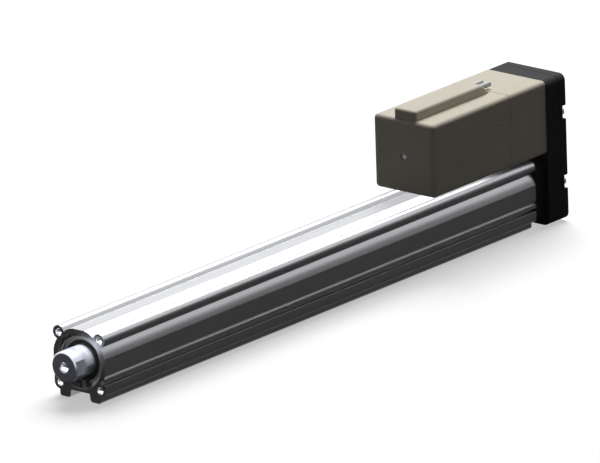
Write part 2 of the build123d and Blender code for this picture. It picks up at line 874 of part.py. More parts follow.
# Rear plate: closes the belt chamber, with screw pockets open to its sides
with BuildPart() as return_plate:
    with BuildSketch(box_plane(box_back)) as plate_profile:
        Rectangle(box_width, box_height)
        fillet(plate_profile.vertices(), box_corner)
    extrude(amount=-plate_thickness)
    chamfer(return_plate.edges().group_by(Axis.X)[-1], parting_chamfer)
    with BuildSketch(box_plane(box_back)):
        with GridLocations(2 * plate_screw_reach, plate_screw_pitch, 2, 2):
            Circle(m4_shank_radius + hole_clearance)
    extrude(amount=-plate_thickness, mode=Mode.SUBTRACT)
    with BuildSketch(box_plane(body_length - plate_pocket_depth)):
        for side in (-1, 1):
            for level in (-plate_screw_pitch / 2, plate_screw_pitch / 2):
                with Locations((side * plate_screw_reach, level)):
                    Circle(plate_pocket_radius)
                with Locations((side * (plate_screw_reach + plate_screw_inset), level)):
                    Rectangle(2 * plate_screw_inset, 2 * plate_pocket_radius)
    extrude(amount=-plate_pocket_depth, mode=Mode.SUBTRACT)
finish(return_plate, "return_plate")


def make_cap_screws(seat_plane, places, radii, head_height, key_width, length):
    """Cap screws with their heads behind a seat and their shanks running forward."""
    shank_radius, head_radius = radii
    with BuildPart() as screws:
        with BuildSketch(seat_plane):
            with places:
                Circle(head_radius)
        extrude(amount=-head_height)
        with BuildSketch(seat_plane):
            with places:
                Circle(shank_radius)
        extrude(amount=length)
        with BuildSketch(seat_plane.offset(-head_height)):
            with places:
                RegularPolygon(key_width / 2, 6, major_radius=False)
        extrude(amount=head_height / 2, mode=Mode.SUBTRACT)
    return screws


m4_radii = (m4_shank_radius, m4_head_radius)
m6_radii = (m6_shank_radius, m6_head_radius)
plate_seat = body_length - plate_pocket_depth
body_seat = box_back - m6_head_height - head_room
adapter_seat = box_back - m4_head_height - head_room
plate_screws = make_cap_screws(
    box_plane(plate_seat),
    GridLocations(2 * plate_screw_reach, plate_screw_pitch, 2, 2),
    m4_radii,
    m4_low_head_height,
    m4_key_width,
    plate_seat - box_back + plate_screw_grip,
)
finish(plate_screws, "plate_screws")

body_screws = make_cap_screws(
    rod_plane(body_seat),
    GridLocations(bolt_pitch, bolt_pitch, 2, 2),
    m6_radii,
    m6_head_height,
    m6_key_width,
    body_seat - tube_length + body_screw_grip,
)
finish(body_screws, "body_screws")

adapter_screws = make_cap_screws(
    motor_plane(adapter_seat),
    GridLocations(adapter_screw_pitch, adapter_screw_pitch, 2, 2),
    m4_radii,
    m4_head_height,
    m4_key_width,
    adapter_seat - box_front + adapter_screw_grip,
)
finish(adapter_screws, "adapter_screws")

# Motor adapter: plate between the drive box and the motor
with BuildPart() as motor_adapter:
    with BuildSketch(motor_plane(adapter_front)):
        RectangleRounded(motor_size, motor_size, motor_corner)
        Circle(hub_hole_radius, mode=Mode.SUBTRACT)
        with GridLocations(adapter_screw_pitch, adapter_screw_pitch, 2, 2):
            Circle(m4_shank_radius + screw_gap, mode=Mode.SUBTRACT)
        with GridLocations(motor_bolt_pitch, motor_bolt_pitch, 2, 2):
            Circle(m4_shank_radius + screw_gap, mode=Mode.SUBTRACT)
    extrude(amount=-adapter_length)
    with BuildSketch(motor_plane(adapter_front)):
        Circle(pilot_radius + running_gap)
    extrude(amount=-pilot_length, mode=Mode.SUBTRACT)
finish(motor_adapter, "motor_adapter")

# Motor end bells: squares with a bearing seat, clamped to the stator by four bolts
with BuildPart() as motor_drive_bell:
    with BuildSketch(motor_plane(drive_bell_front)):
        RectangleRounded(motor_size, motor_size, motor_corner)
        with GridLocations(motor_bolt_pitch, motor_bolt_pitch, 2, 2):
            Circle(m4_shank_radius + screw_gap, mode=Mode.SUBTRACT)
    extrude(amount=-drive_bell_length)
    with BuildSketch(motor_plane(adapter_front)):
        Circle(pilot_radius)
    extrude(amount=-pilot_length)
    with BuildSketch(motor_plane(drive_bell_front)):
        Circle(bell_hole_radius)
    extrude(amount=-(drive_bell_length + pilot_length), mode=Mode.SUBTRACT)
    with BuildSketch(motor_plane(drive_bell_front)):
        Circle(motor_bearing_radius)
    extrude(amount=-motor_bearing_length, mode=Mode.SUBTRACT)
finish(motor_drive_bell, "motor_drive_bell")

with BuildPart() as motor_rear_bell:
    with BuildSketch(motor_plane(rear_bell_front)):
        RectangleRounded(motor_size, motor_size, motor_corner)
        Circle(bell_hole_radius, mode=Mode.SUBTRACT)
        with GridLocations(motor_bolt_pitch, motor_bolt_pitch, 2, 2):
            Circle(m4_shank_radius + screw_gap, mode=Mode.SUBTRACT)
    extrude(amount=-rear_bell_length)
    with BuildSketch(motor_plane(stator_front - motor_bearing_length)):
        Circle(motor_bearing_radius)
    extrude(amount=-motor_bearing_length, mode=Mode.SUBTRACT)
finish(motor_rear_bell, "motor_rear_bell")

winding_reach = stator_bore_radius - winding_inset + winding_height / 2
with BuildPart() as motor_stator:
    with BuildSketch(motor_plane(stator_front)) as stator_profile:
        Rectangle(motor_size, motor_size)
        chamfer(stator_profile.vertices(), stator_corner)
        Circle(stator_bore_radius, mode=Mode.SUBTRACT)
        with PolarLocations(winding_reach, winding_count):
            Rectangle(winding_height, winding_width, mode=Mode.SUBTRACT)
        with GridLocations(motor_bolt_pitch, motor_bolt_pitch, 2, 2):
            Circle(m4_shank_radius + screw_gap, mode=Mode.SUBTRACT)
    extrude(amount=-stator_length)
finish(motor_stator, "motor_stator")

with BuildPart() as motor_windings:
    with BuildSketch(motor_plane(stator_front)):
        with PolarLocations(winding_reach, winding_count):
            Rectangle(winding_height, winding_width)
        Circle(stator_bore_radius, mode=Mode.SUBTRACT)
    extrude(amount=-stator_length)
finish(motor_windings, "motor_windings")

motor_bearing_fronts = (stator_front - motor_bearing_length, drive_bell_front)
for race_name, race_outer, race_inner in (
    ("motor_bearing_outers", motor_bearing_radius, motor_bearing_split + running_gap),
    ("motor_bearing_inners", motor_bearing_split, shaft_radius),
):
    with BuildPart() as motor_bearing:
        for race_front in motor_bearing_fronts:
            with BuildSketch(motor_plane(race_front)):
                Circle(race_outer)
                Circle(race_inner, mode=Mode.SUBTRACT)
            extrude(amount=-motor_bearing_length)
    finish(motor_bearing, race_name)

with BuildPart() as motor_shaft:
    with BuildSketch(motor_plane(shaft_front)):
        Circle(shaft_radius)
    extrude(amount=-(shaft_end - shaft_front))
finish(motor_shaft, "motor_shaft")

with BuildPart() as rotor_core:
    with BuildSketch(motor_plane(stator_front + rotor_end_gap)):
        Circle(rotor_radius)
        Circle(shaft_radius, mode=Mode.SUBTRACT)
    extrude(amount=-(stator_length - 2 * rotor_end_gap))
finish(rotor_core, "rotor_core")

# Motor bolts: from the rear bell through the stator and drive bell into the adapter
motor_bolt_seat = Plane(
    origin=motor_plane(rear_bell_front).origin, x_dir=(0, 1, 0), z_dir=(-1, 0, 0)
)
motor_bolts = make_cap_screws(
    motor_bolt_seat,
    GridLocations(motor_bolt_pitch, motor_bolt_pitch, 2, 2),
    m4_radii,
    m4_head_height,
    m4_key_width,
    adapter_front + motor_bolt_grip - rear_bell_front,
)
finish(motor_bolts, "motor_bolts")

# Encoder: cup on the rear bell, code disc on the shaft, and a board with the lead connector
with BuildPart() as encoder_housing:
    with BuildSketch(motor_plane(encoder_front)):
        Circle(encoder_radius)
        Circle(shaft_radius + 3 * soft_gap, mode=Mode.SUBTRACT)
    extrude(amount=-encoder_length)
    with BuildSketch(motor_plane(encoder_front + encoder_wall)):
        Circle(encoder_radius - encoder_wall)
    extrude(amount=-(encoder_length - encoder_wall), mode=Mode.SUBTRACT)
finish(encoder_housing, "encoder_housing")

disc_hub_front = encoder_front + (encoder_length - disc_hub_length) / 2
with BuildPart() as encoder_disc:
    with BuildSketch(motor_plane(disc_hub_front)):
        Circle(disc_hub_radius)
    extrude(amount=-disc_hub_length)
    with BuildSketch(motor_plane(disc_hub_front)):
        Circle(disc_radius)
    extrude(amount=-disc_thickness)
    with BuildSketch(motor_plane(disc_hub_front)):
        Circle(shaft_radius)
    extrude(amount=-disc_hub_length, mode=Mode.SUBTRACT)
finish(encoder_disc, "encoder_disc")

with BuildPart() as encoder_board:
    with BuildSketch(motor_plane(board_front)):
        Rectangle(board_size, board_size)
        Circle(disc_hub_radius, mode=Mode.SUBTRACT)
    extrude(amount=-board_thickness)
finish(encoder_board, "encoder_board")

connector_top = motor_height + board_size / 2
connector_front = board_front - connector_length
with BuildPart() as lead_connector:
    with BuildSketch(square_plane(connector_front, connector_top)):
        Rectangle(connector_width, connector_height, align=(Align.CENTER, Align.MAX))
    extrude(amount=-connector_length)
finish(lead_connector, "lead_connector")

# Manual override screw: on the shaft's front end, behind the hole in the cover
with BuildPart() as manual_override_screw:
    with BuildSketch(motor_plane(override_front)):
        Circle(override_radius)
    extrude(amount=-(shaft_front - override_front))
    with BuildSketch(motor_plane(override_front)):
        Rectangle(2 * override_radius, override_slot_width)
    extrude(amount=-override_slot_depth, mode=Mode.SUBTRACT)
finish(manual_override_screw, "manual_override_screw")


def cover_plane(depth):
    """Plane square to the rod, centred on the motor covers."""
    return square_plane(depth, cover_middle)


duct_front = cover_front + duct_front_inset
duct_back = seam_depth - duct_rear_inset
duct_bore_front = duct_front + duct_wall

# Cable duct: ridge rounded all round, with a sloping rear end
with BuildPart() as cable_duct:
    with BuildSketch(duct_section):
        Polygon(
            (duct_front, -duct_root),
            (duct_front, duct_height),
            (duct_back - duct_slope * duct_height, duct_height),
            (duct_back + duct_slope * duct_root, -duct_root),
            align=None,
        )
    extrude(amount=duct_width / 2, both=True)
    fillet(cable_duct.edges() - cable_duct.edges().group_by(Axis.Z)[0], duct_corner)

# Front motor cover: moulded shell with the cable duct on top, open at the seam
with BuildPart() as motor_cover:
    with BuildSketch(cover_plane(cover_front)):
        Rectangle(cover_size, cover_size)
    extrude(amount=-(front_cover_length - seam_gap))
    long_edges = motor_cover.edges().filter_by(Axis.X)
    front_edges = motor_cover.edges().group_by(Axis.X)[-1]
    fillet(long_edges + front_edges, cover_fillet)
    add(cable_duct.part)
    with BuildSketch(cover_plane(seam_depth - seam_gap)):
        Rectangle(2 * cover_size, 2 * cover_size)
    extrude(amount=-seam_gap - duct_root * duct_slope, mode=Mode.SUBTRACT)
    with BuildSketch(cover_plane(cover_front + cover_front_wall)):
        RectangleRounded(cover_inner_size, cover_inner_size, cover_fillet - cover_wall)
    extrude(amount=-(front_cover_length - cover_front_wall), mode=Mode.SUBTRACT)
    with BuildSketch(cover_plane(seam_depth - lap_length)):
        lap_size = cover_size - 2 * (cover_wall - lap_thickness)
        RectangleRounded(lap_size, lap_size, cover_fillet - cover_wall + lap_thickness)
    extrude(amount=-lap_length, mode=Mode.SUBTRACT)
    with BuildSketch(square_plane(duct_bore_front, duct_bore_middle, duct_side)):
        Rectangle(duct_bore_width, duct_bore_height)
    extrude(amount=-(duct_back - duct_bore_front), mode=Mode.SUBTRACT)
    with BuildSketch(square_plane(duct_bore_front, duct_bore_middle, duct_side)):
        Rectangle(duct_bore_width, duct_height + cover_wall, align=(Align.CENTER, Align.MAX))
    extrude(amount=-duct_opening_length, mode=Mode.SUBTRACT)
    with BuildSketch(motor_plane(cover_front)):
        Circle(override_hole_radius)
    extrude(amount=-cover_front_wall, mode=Mode.SUBTRACT)
    with BuildSketch(motor_plane(seam_depth - slit_length)):
        for level in (-slit_spacing / 2, slit_spacing / 2):
            with Locations((0, level)):
                Rectangle(2 * cover_size, slit_height)
    extrude(amount=-slit_length, mode=Mode.SUBTRACT)
finish(motor_cover, "motor_cover")

# Rear motor cover: shell between the seam and the drive box, with a lap under the front cover
with BuildPart() as motor_cover_rear:
    with BuildSketch(cover_plane(seam_depth)):
        RectangleRounded(cover_size, cover_size, cover_fillet)
    extrude(amount=-rear_cover_length)
    with BuildSketch(cover_plane(seam_depth - lap_length)):
        tongue_size = cover_size - 2 * (cover_wall - lap_thickness + running_gap)
        RectangleRounded(tongue_size, tongue_size, cover_fillet - cover_wall + lap_thickness)
    extrude(amount=-lap_length)
    with BuildSketch(cover_plane(seam_depth - lap_length)):
        RectangleRounded(cover_inner_size, cover_inner_size, cover_fillet - cover_wall)
    extrude(amount=-(lap_length + rear_cover_length), mode=Mode.SUBTRACT)
finish(motor_cover_rear, "motor_cover_rear")

lead_start = connector_front + connector_length / 2
lead_end = duct_back + lead_stub
lead_height = duct_bore_middle - cover_top
grommet_back = duct_back - duct_slope * (duct_floor + duct_bore_height) - soft_gap

# Cable grommet: rubber block in the duct's mouth with one hole for each lead
with BuildPart() as cable_grommet:
    with BuildSketch(square_plane(grommet_back - grommet_length, duct_bore_middle, duct_side)):
        Rectangle(duct_bore_width, duct_bore_height)
        with GridLocations(lead_pitch, lead_pitch, 2, 1):
            Circle(lead_radius, mode=Mode.SUBTRACT)
    extrude(amount=-grommet_length)
finish(cable_grommet, "cable_grommet")

# Leads: from the connector up into the duct and out through the grommet
for lead_name, lead_side in (("motor_lead", 1), ("encoder_lead", -1)):
    with BuildPart() as lead:
        with BuildLine(section_plane(cover_top, duct_side + lead_side * lead_pitch / 2)) as lead_path:
            FilletPolyline(
                (lead_start, connector_top - cover_top),
                (lead_start, lead_height),
                (lead_end, lead_height),
                radius=lead_bend,
            )
        with BuildSketch(Plane(origin=lead_path.line @ 0, z_dir=lead_path.line % 0)):
            Circle(lead_radius)
        sweep(path=lead_path.line)
        fillet(lead.edges().sort_by(Axis.X)[0], lead_radius / 4)
    finish(lead, lead_name)
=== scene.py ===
"""Looks of the electric cylinder: finishes, screw threads, studio and camera.

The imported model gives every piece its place. Each sub-assembly below dresses its own pieces, and
adds the threads that the solids leave out.
"""

import logging
import math
from dataclasses import dataclass, field, replace
from enum import Enum
from typing import Any, ClassVar, Mapping, Sequence

import bmesh
import bpy
from mathutils import Matrix, Vector


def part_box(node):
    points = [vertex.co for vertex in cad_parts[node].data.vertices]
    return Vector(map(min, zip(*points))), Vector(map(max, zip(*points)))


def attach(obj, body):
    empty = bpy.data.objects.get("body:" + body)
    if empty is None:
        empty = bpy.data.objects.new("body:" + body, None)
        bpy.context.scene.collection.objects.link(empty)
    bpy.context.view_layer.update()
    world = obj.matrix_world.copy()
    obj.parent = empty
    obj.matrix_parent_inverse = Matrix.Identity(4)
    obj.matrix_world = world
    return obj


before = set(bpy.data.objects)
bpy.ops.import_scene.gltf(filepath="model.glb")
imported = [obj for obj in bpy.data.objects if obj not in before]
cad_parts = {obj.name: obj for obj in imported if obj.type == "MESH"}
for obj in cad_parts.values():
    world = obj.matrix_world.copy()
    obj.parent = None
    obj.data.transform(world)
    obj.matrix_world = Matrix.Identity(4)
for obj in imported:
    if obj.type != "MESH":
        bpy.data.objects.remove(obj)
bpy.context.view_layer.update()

logging.basicConfig(level=logging.INFO, format="%(message)s")
log = logging.getLogger("cylinder")

Colour = tuple[float, float, float, float]

# Millimetres in a metre
METRE = 1000


def millimetres(*values: float) -> Vector:
    """A vector in metres from three lengths in millimetres."""
    return Vector(values) / METRE


def srgb(red: int, green: int, blue: int) -> Colour:
    """Scene colour of a screen colour.

    Args:
        red: Red from 0 to 255.
        green: Green from 0 to 255.
        blue: Blue from 0 to 255.

    Returns:
        The linear colour with an alpha of 1.
    """

    def linear(level: int) -> float:
        """Linear light of one screen level."""
        share = level / 255
        return share / 12.92 if share <= 0.04045 else ((share + 0.055) / 1.055) ** 2.4

    return (linear(red), linear(green), linear(blue), 1.0)


def grey(level: int) -> Colour:
    """Scene colour of a grey from 0 to 255."""
    return srgb(level, level, level)


WHITE = grey(255)


class Signal:
    """One output in a node tree, which adds Math nodes when it is used in an expression."""

    def __init__(self, tree: "Tree", socket: bpy.types.NodeSocket) -> None:
        """Keep the tree and the socket that the signal comes from."""
        self.tree = tree
        self.socket = socket

    def maths(self, operation: str, *operands: Any) -> "Signal":
        """Result of a Math node on these operands."""
        inputs = dict(enumerate(operands))
        return self.tree.signal("ShaderNodeMath", {"operation": operation}, inputs)

    def __add__(self, other: Any) -> "Signal":
        """Sum of the signal and a signal or number."""
        return self.maths("ADD", self, other)

    __radd__ = __add__

    def __sub__(self, other: Any) -> "Signal":
        """Difference from a signal or number."""
        return self.maths("SUBTRACT", self, other)

    def __rsub__(self, other: Any) -> "Signal":
        """Difference of a number from the signal."""
        return self.maths("SUBTRACT", other, self)

    def __mul__(self, other: Any) -> "Signal":
        """Product of the signal and a signal or number."""
        return self.maths("MULTIPLY", self, other)

    __rmul__ = __mul__

    def __truediv__(self, other: Any) -> "Signal":
        """Quotient by a signal or number."""
        return self.maths("DIVIDE", self, other)

    def __pow__(self, other: Any) -> "Signal":
        """Power of the signal."""
        return self.maths("POWER", self, other)

    def __abs__(self) -> "Signal":
        """Size of the signal without its sign."""
        return self.maths("ABSOLUTE", self)

    def sine(self) -> "Signal":
        """Sine of the signal."""
        return self.maths("SINE", self)

    def mixed(self, other: "Signal", share: float) -> "Signal":
        """This share of the signal, and the rest of another one."""
        return self * share + other * (1 - share)

    def clamped(self) -> "Signal":
        """The signal kept between 0 and 1."""
        return self.tree.signal(
            "ShaderNodeMath", {"operation": "ADD", "use_clamp": True}, {0: self, 1: 0.0}
        )


class Tree:
    """Node tree of a material or a world, with short ways to add nodes to it."""

    def __init__(self, owner: bpy.types.Material | bpy.types.World) -> None:
        """Empty the owner's node tree.

        Args:
            owner: The material or world whose nodes are made.
        """
        owner.use_nodes = True
        self.nodes = owner.node_tree.nodes
        self.links = owner.node_tree.links
        self.nodes.clear()

    def node(
        self,
        kind: str,
        settings: Mapping[str, Any] | None = None,
        inputs: Mapping[str | int, Any] | None = None,
    ) -> bpy.types.Node:
        """Add a node.

        Args:
            kind: The node's type.
            settings: Its own properties, such as a Math node's operation.
            inputs: A value or a signal for each socket that is set.

        Returns:
            The node.
        """
        made = self.nodes.new(kind)
        for name, value in (settings or {}).items():
            setattr(made, name, value)
        for name, value in (inputs or {}).items():
            if isinstance(value, Signal):
                self.links.new(value.socket, made.inputs[name])
            else:
                made.inputs[name].default_value = value
        return made

    def signal(
        self,
        kind: str,
        settings: Mapping[str, Any] | None = None,
        inputs: Mapping[str | int, Any] | None = None,
        output: str | int = 0,
    ) -> Signal:
        """Add a node and return one of its outputs as a signal."""
        return Signal(self, self.node(kind, settings, inputs).outputs[output])

    def place(
        self, scale: Sequence[float] = (1, 1, 1), centre: Sequence[float] = (0, 0, 0)
    ) -> Signal:
        """Object coordinates in millimetres.

        Args:
            scale: How much finer the pattern is along each axis.
            centre: The point in metres that the pattern is centred on.

        Returns:
            The coordinates as a vector signal.
        """
        coordinates = self.signal("ShaderNodeTexCoord", output="Object")
        factors = [METRE * share for share in scale]
        shift = [-factor * along for factor, along in zip(factors, centre)]
        return self.signal(
            "ShaderNodeMapping", {}, {"Vector": coordinates, "Scale": factors, "Location": shift}
        )

    def noise(self, vector: Signal, scale: float, detail: float = 2.0) -> Signal:
        """Noise from 0 to 1 with this many features in a millimetre."""
        return self.signal(
            "ShaderNodeTexNoise", {}, {"Vector": vector, "Scale": scale, "Detail": detail}, "Fac"
        )

    def split(self, vector: Signal) -> tuple[Signal, Signal, Signal]:
        """The three parts of a vector signal."""
        made = self.node("ShaderNodeSeparateXYZ", {}, {0: vector})
        return tuple(Signal(self, output) for output in made.outputs)

    def blend(self, share: Signal, first: Any, second: Any) -> Signal:
        """Colour between two colours, by the Mix node's colour sockets 6, 7 and 2."""
        settings = {"data_type": "RGBA", "clamp_factor": True}
        return self.signal("ShaderNodeMix", settings, {0: share, 6: first, 7: second}, 2)


class Axis(Enum):
    """Centre lines that turned pieces and threads are about, by a node that lies on each."""

    ROD = "ball_screw"
    MOTOR = "motor_shaft"

    def centre(self) -> Vector:
        """A point on the line, in metres."""
        low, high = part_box(self.value)
        return Vector((0, 0, (low.z + high.z) / 2))


@dataclass
class Pattern:
    """What a finish lays on its surface, each part from 0 to 1.

    Attributes:
        relief: Height of the surface.
        tone: Share of the lighter colour.
        gloss: Roughness, with 0.5 as its middle.
    """

    relief: Signal
    tone: Signal
    gloss: Signal


@dataclass(frozen=True)
class Finish:
    """Surface of one kind: two near colours, roughness, relief and lighter edges, which are wear,
    and on the moulded cover partly a painted highlight.

    Attributes:
        name: The material's name.
        light: The lighter of the two colours that the pattern runs between.
        dark: The darker of the two.
        roughness: Middle roughness.
        spread: How far the roughness goes from its middle.
        metallic: 1 for bare metal, 0 for paint, plastic and rubber.
        depth: Height of the relief in millimetres.
        edge: Radius in millimetres that sharp edges seem rounded to.
        wear_and_highlight_colour: Lighter colour at the edges: worn metal and paint, and on the
            moulded cover also a painted highlight of its rounded edges.
        wear_and_highlight: How much of that colour shows at the edges.
        coat: Weight of a clear coat.
        shine: Strength of the reflection that paint and plastic have, 0.5 for most.
        coat_roughness: Roughness of the clear coat.
        bevel_samples: How many rays find the rounded edges.
        wear_and_highlight_gain: How fast that lighter edge colour grows with the turn of a rounded
            edge.
    """

    name: str
    light: Colour
    dark: Colour
    roughness: float
    spread: float = 0.05
    metallic: float = 0.0
    depth: float = 0.01
    edge: float = 0.25
    wear_and_highlight_colour: Colour = (0.6, 0.6, 0.6, 1.0)
    wear_and_highlight: float = 0.0
    coat: float = 0.0
    shine: float = 0.5
    coat_roughness: ClassVar[float] = 0.15
    bevel_samples: ClassVar[int] = 4
    wear_and_highlight_gain: ClassVar[float] = 6.0

    def pattern(self, tree: Tree) -> Pattern:
        """Fine even grain over slow changes of tone.

        Args:
            tree: The material's nodes.

        Returns:
            The relief, tone and gloss of the surface.
        """
        place = tree.place()
        grain = tree.noise(place, scale=2.5, detail=3)
        clouds = tree.noise(place, scale=0.04)
        return Pattern(grain, clouds, grain)

    def material(self) -> bpy.types.Material:
        """Make the material, or return it if it is there already.

        Returns:
            The material of this finish.
        """
        found = bpy.data.materials.get(self.name)
        if found is not None:
            return found
        made = bpy.data.materials.new(self.name)
        tree = Tree(made)
        pattern = self.pattern(tree)
        rounded = tree.signal(
            "ShaderNodeBevel", {"samples": self.bevel_samples}, {"Radius": self.edge / METRE}
        )
        normal = tree.signal(
            "ShaderNodeBump",
            {},
            {"Height": pattern.relief, "Distance": self.depth / METRE, "Normal": rounded},
        )
        colour = tree.blend(pattern.tone, self.dark, self.light)
        # Edges lighten where the rounded normal turns from the flat one: wear, and on the moulded
        # cover partly a painted highlight.
        if self.wear_and_highlight:
            flat = tree.signal("ShaderNodeNewGeometry", output="True Normal")
            likeness = tree.signal(
                "ShaderNodeVectorMath", {"operation": "DOT_PRODUCT"}, {0: rounded, 1: flat}, "Value"
            )
            wear_and_highlight_share = ((1 - likeness) * self.wear_and_highlight_gain * self.wear_and_highlight).clamped()
            colour = tree.blend(wear_and_highlight_share, colour, self.wear_and_highlight_colour)
        surface = tree.node(
            "ShaderNodeBsdfPrincipled",
            {},
            {
                "Base Color": colour,
                "Roughness": (pattern.gloss - 0.5) * (2 * self.spread) + self.roughness,
                "Metallic": self.metallic,
                "Specular IOR Level": self.shine,
                "Coat Weight": self.coat,
                "Coat Roughness": self.coat_roughness,
                "Normal": normal,
            },
        )
        output = tree.node("ShaderNodeOutputMaterial")
        tree.links.new(surface.outputs[0], output.inputs["Surface"])
        return made


@dataclass(frozen=True)
class Extruded(Finish):
    """Anodised extrusion with fine die lines along X."""

    def pattern(self, tree: Tree) -> Pattern:
        """Streaks that run along the extrusion, with a slight mottle.

        Args:
            tree: The material's nodes.

        Returns:
            The relief, tone and gloss of the surface.
        """
        lines = tree.noise(tree.place((0.004, 1, 1)), scale=1.6, detail=4)
        mottle = tree.noise(tree.place((0.3, 1, 1)), scale=0.08)
        return Pattern(lines, lines.mixed(mottle, 0.7), lines)


@dataclass(frozen=True)
class Turned(Finish):
    """Metal with turning marks round one of the two centre lines.

    Attributes:
        axis: The line that the marks run round.
        rings: Marks in a millimetre.
    """

    axis: Axis = Axis.ROD
    rings: float = 3.0

    def pattern(self, tree: Tree) -> Pattern:
        """Fine rings that run round the axis on faces and on barrels.

        Args:
            tree: The material's nodes.

        Returns:
            The relief, tone and gloss of the surface.
        """
        along, across, up = tree.split(tree.place(centre=self.axis.centre()))
        radius = (across * across + up * up) ** 0.5
        rings = tree.signal(
            "ShaderNodeTexNoise",
            {"noise_dimensions": "1D"},
            {"W": radius + along, "Scale": self.rings, "Detail": 3.0},
            "Fac",
        )
        mottle = tree.noise(tree.place(), scale=0.15)
        return Pattern(rings, rings.mixed(mottle, 0.6), rings)


@dataclass(frozen=True)
class BallGroove(Turned):
    """Ground screw bar with the round ball groove that winds along it.

    Attributes:
        lead: How far the groove goes in one turn, in millimetres.
        groove: Half the groove's width as a share of the lead.
    """

    lead: float = 8.0
    groove: float = 0.22

    def pattern(self, tree: Tree) -> Pattern:
        """A groove once in each lead, with grinding marks between.

        Args:
            tree: The material's nodes.

        Returns:
            The relief, tone and gloss of the surface.
        """
        ground = super().pattern(tree)
        along, across, up = tree.split(tree.place(centre=self.axis.centre()))
        turn = up.maths("ARCTAN2", up, across)
        turns = along / self.lead + turn / math.tau
        phase = turns.maths("FRACT", turns)
        inside = (1 - abs(phase - 0.5) / self.groove).clamped()
        depth = 1 - inside * inside
        # The tone is also darker inside the groove: painted shade in a groove that only the bump
        # draws.
        return Pattern(depth, ground.tone.mixed(depth, 0.6).clamped(), ground.gloss)


@dataclass(frozen=True)
class Cast(Finish):
    """Painted casting: fine orange peel with a few larger waves."""

    def pattern(self, tree: Tree) -> Pattern:
        """Peel in the paint over the rougher skin of the casting.

        Args:
            tree: The material's nodes.

        Returns:
            The relief, tone and gloss of the surface.
        """
        place = tree.place()
        peel = tree.noise(place, scale=1.1, detail=3)
        waves = tree.noise(place, scale=0.25)
        return Pattern(peel.mixed(waves, 0.6), waves, peel)


@dataclass(frozen=True)
class Moulded(Finish):
    """Moulded cover with a spark-eroded grain."""

    def pattern(self, tree: Tree) -> Pattern:
        """Small rounded pits of one size, and a slow change of tone.

        Args:
            tree: The material's nodes.

        Returns:
            The relief, tone and gloss of the surface.
        """
        place = tree.place()
        pits = tree.signal("ShaderNodeTexVoronoi", {}, {"Vector": place, "Scale": 2.2}, "Distance")
        clouds = tree.noise(place, scale=0.03, detail=3)
        return Pattern(pits.clamped(), clouds, pits.clamped())


@dataclass(frozen=True)
class Pored(Finish):
    """Sintered metal with open pores.

    Attributes:
        contrast: How sharply the pores stand out from the grains.
    """

    contrast: float = 2.2

    def pattern(self, tree: Tree) -> Pattern:
        """Dark pores between pressed grains.

        Args:
            tree: The material's nodes.

        Returns:
            The relief, tone and gloss of the surface.
        """
        place = tree.place()
        pores = tree.signal("ShaderNodeTexVoronoi", {}, {"Vector": place, "Scale": 3.0}, "Distance")
        sharp = (pores * self.contrast).clamped()
        return Pattern(sharp, sharp, pores.clamped())


@dataclass(frozen=True)
class Layered(Finish):
    """Stack of steel sheets, edge on, along X.

    Attributes:
        sheet: Thickness of a sheet in millimetres.
    """

    sheet: float = 0.5

    def pattern(self, tree: Tree) -> Pattern:
        """One ridge for each sheet, and each sheet of its own tone.

        Args:
            tree: The material's nodes.

        Returns:
            The relief, tone and gloss of the surface.
        """
        along = tree.split(tree.place())[0]
        ridges = (along * (math.tau / self.sheet)).sine() * 0.5 + 0.5
        tones = tree.noise(tree.place((1, 0.02, 0.02)), scale=2.0, detail=1)
        return Pattern(ridges, tones, tones)


@dataclass(frozen=True)
class Wound(Finish):
    """Enamelled copper wire laid side by side along X.

    Attributes:
        wire: Distance from wire to wire in millimetres.
    """

    wire: float = 0.7

    def pattern(self, tree: Tree) -> Pattern:
        """Round wires next to each other, some lighter than others.

        Args:
            tree: The material's nodes.

        Returns:
            The relief, tone and gloss of the surface.
        """
        across, up = tree.split(tree.place())[1:]
        wires = ((across + up) * (math.tau / self.wire)).sine() * 0.5 + 0.5
        tones = tree.noise(tree.place((0.02, 1, 1)), scale=1.2)
        # The tone follows the wires too, darker between them: painted shade in the creases between
        # wires.
        return Pattern(wires, tones.mixed(wires, 0.6).clamped(), tones)


@dataclass(frozen=True)
class Printed(Finish):
    """Circuit board: solder mask over copper tracks."""

    def pattern(self, tree: Tree) -> Pattern:
        """Raised tracks that step across the board.

        Args:
            tree: The material's nodes.

        Returns:
            The relief, tone and gloss of the surface.
        """
        along, across, up = tree.split(tree.place())
        flat = tree.signal("ShaderNodeCombineXYZ", {}, {0: across, 1: up, 2: along})
        tracks = tree.signal(
            "ShaderNodeTexBrick",
            {},
            {
                "Vector": flat,
                "Scale": 0.5,
                "Mortar Size": 0.09,
                "Mortar Smooth": 0.2,
                "Brick Width": 2.4,
                "Row Height": 0.8,
            },
            "Fac",
        )
        return Pattern(tracks, tracks, tree.noise(tree.place(), scale=0.5))


@dataclass(frozen=True)
class Knurled(Finish):
    """Cap screws with rolled heads, in a pattern that repeats to both sides and up and down.

    Attributes:
        middle: Height of the point between the four screws, in metres.
        half_width: From that point to a screw across the part, in metres.
        half_height: From that point to a screw up or down, in metres.
        ribs: Ribs round one head.
        rim: Radius in millimetres at which the ribs start.
        rise: How fast they reach their full height, as a share in a millimetre.
    """

    middle: float = 0.061
    half_width: float = 0.026
    half_height: float = 0.0285
    ribs: int = 26
    rim: float = 3.0
    rise: float = 8.0

    def pattern(self, tree: Tree) -> Pattern:
        """Straight ribs round the rim of each of the four heads.

        Args:
            tree: The material's nodes.

        Returns:
            The relief, tone and gloss of the surface.
        """
        across, up = tree.split(tree.place(centre=(0, 0, self.middle)))[1:]
        beside = abs(across) - self.half_width * METRE
        above = abs(up) - self.half_height * METRE
        turn = above.maths("ARCTAN2", above, beside)
        radius = (beside * beside + above * above) ** 0.5
        outer = ((radius - self.rim) * self.rise).clamped()
        ribs = (turn * self.ribs).sine() * outer * 0.5 + 0.5
        grain = tree.noise(tree.place(), scale=2.0, detail=3)
        return Pattern(ribs.mixed(grain, 0.9), grain, grain)


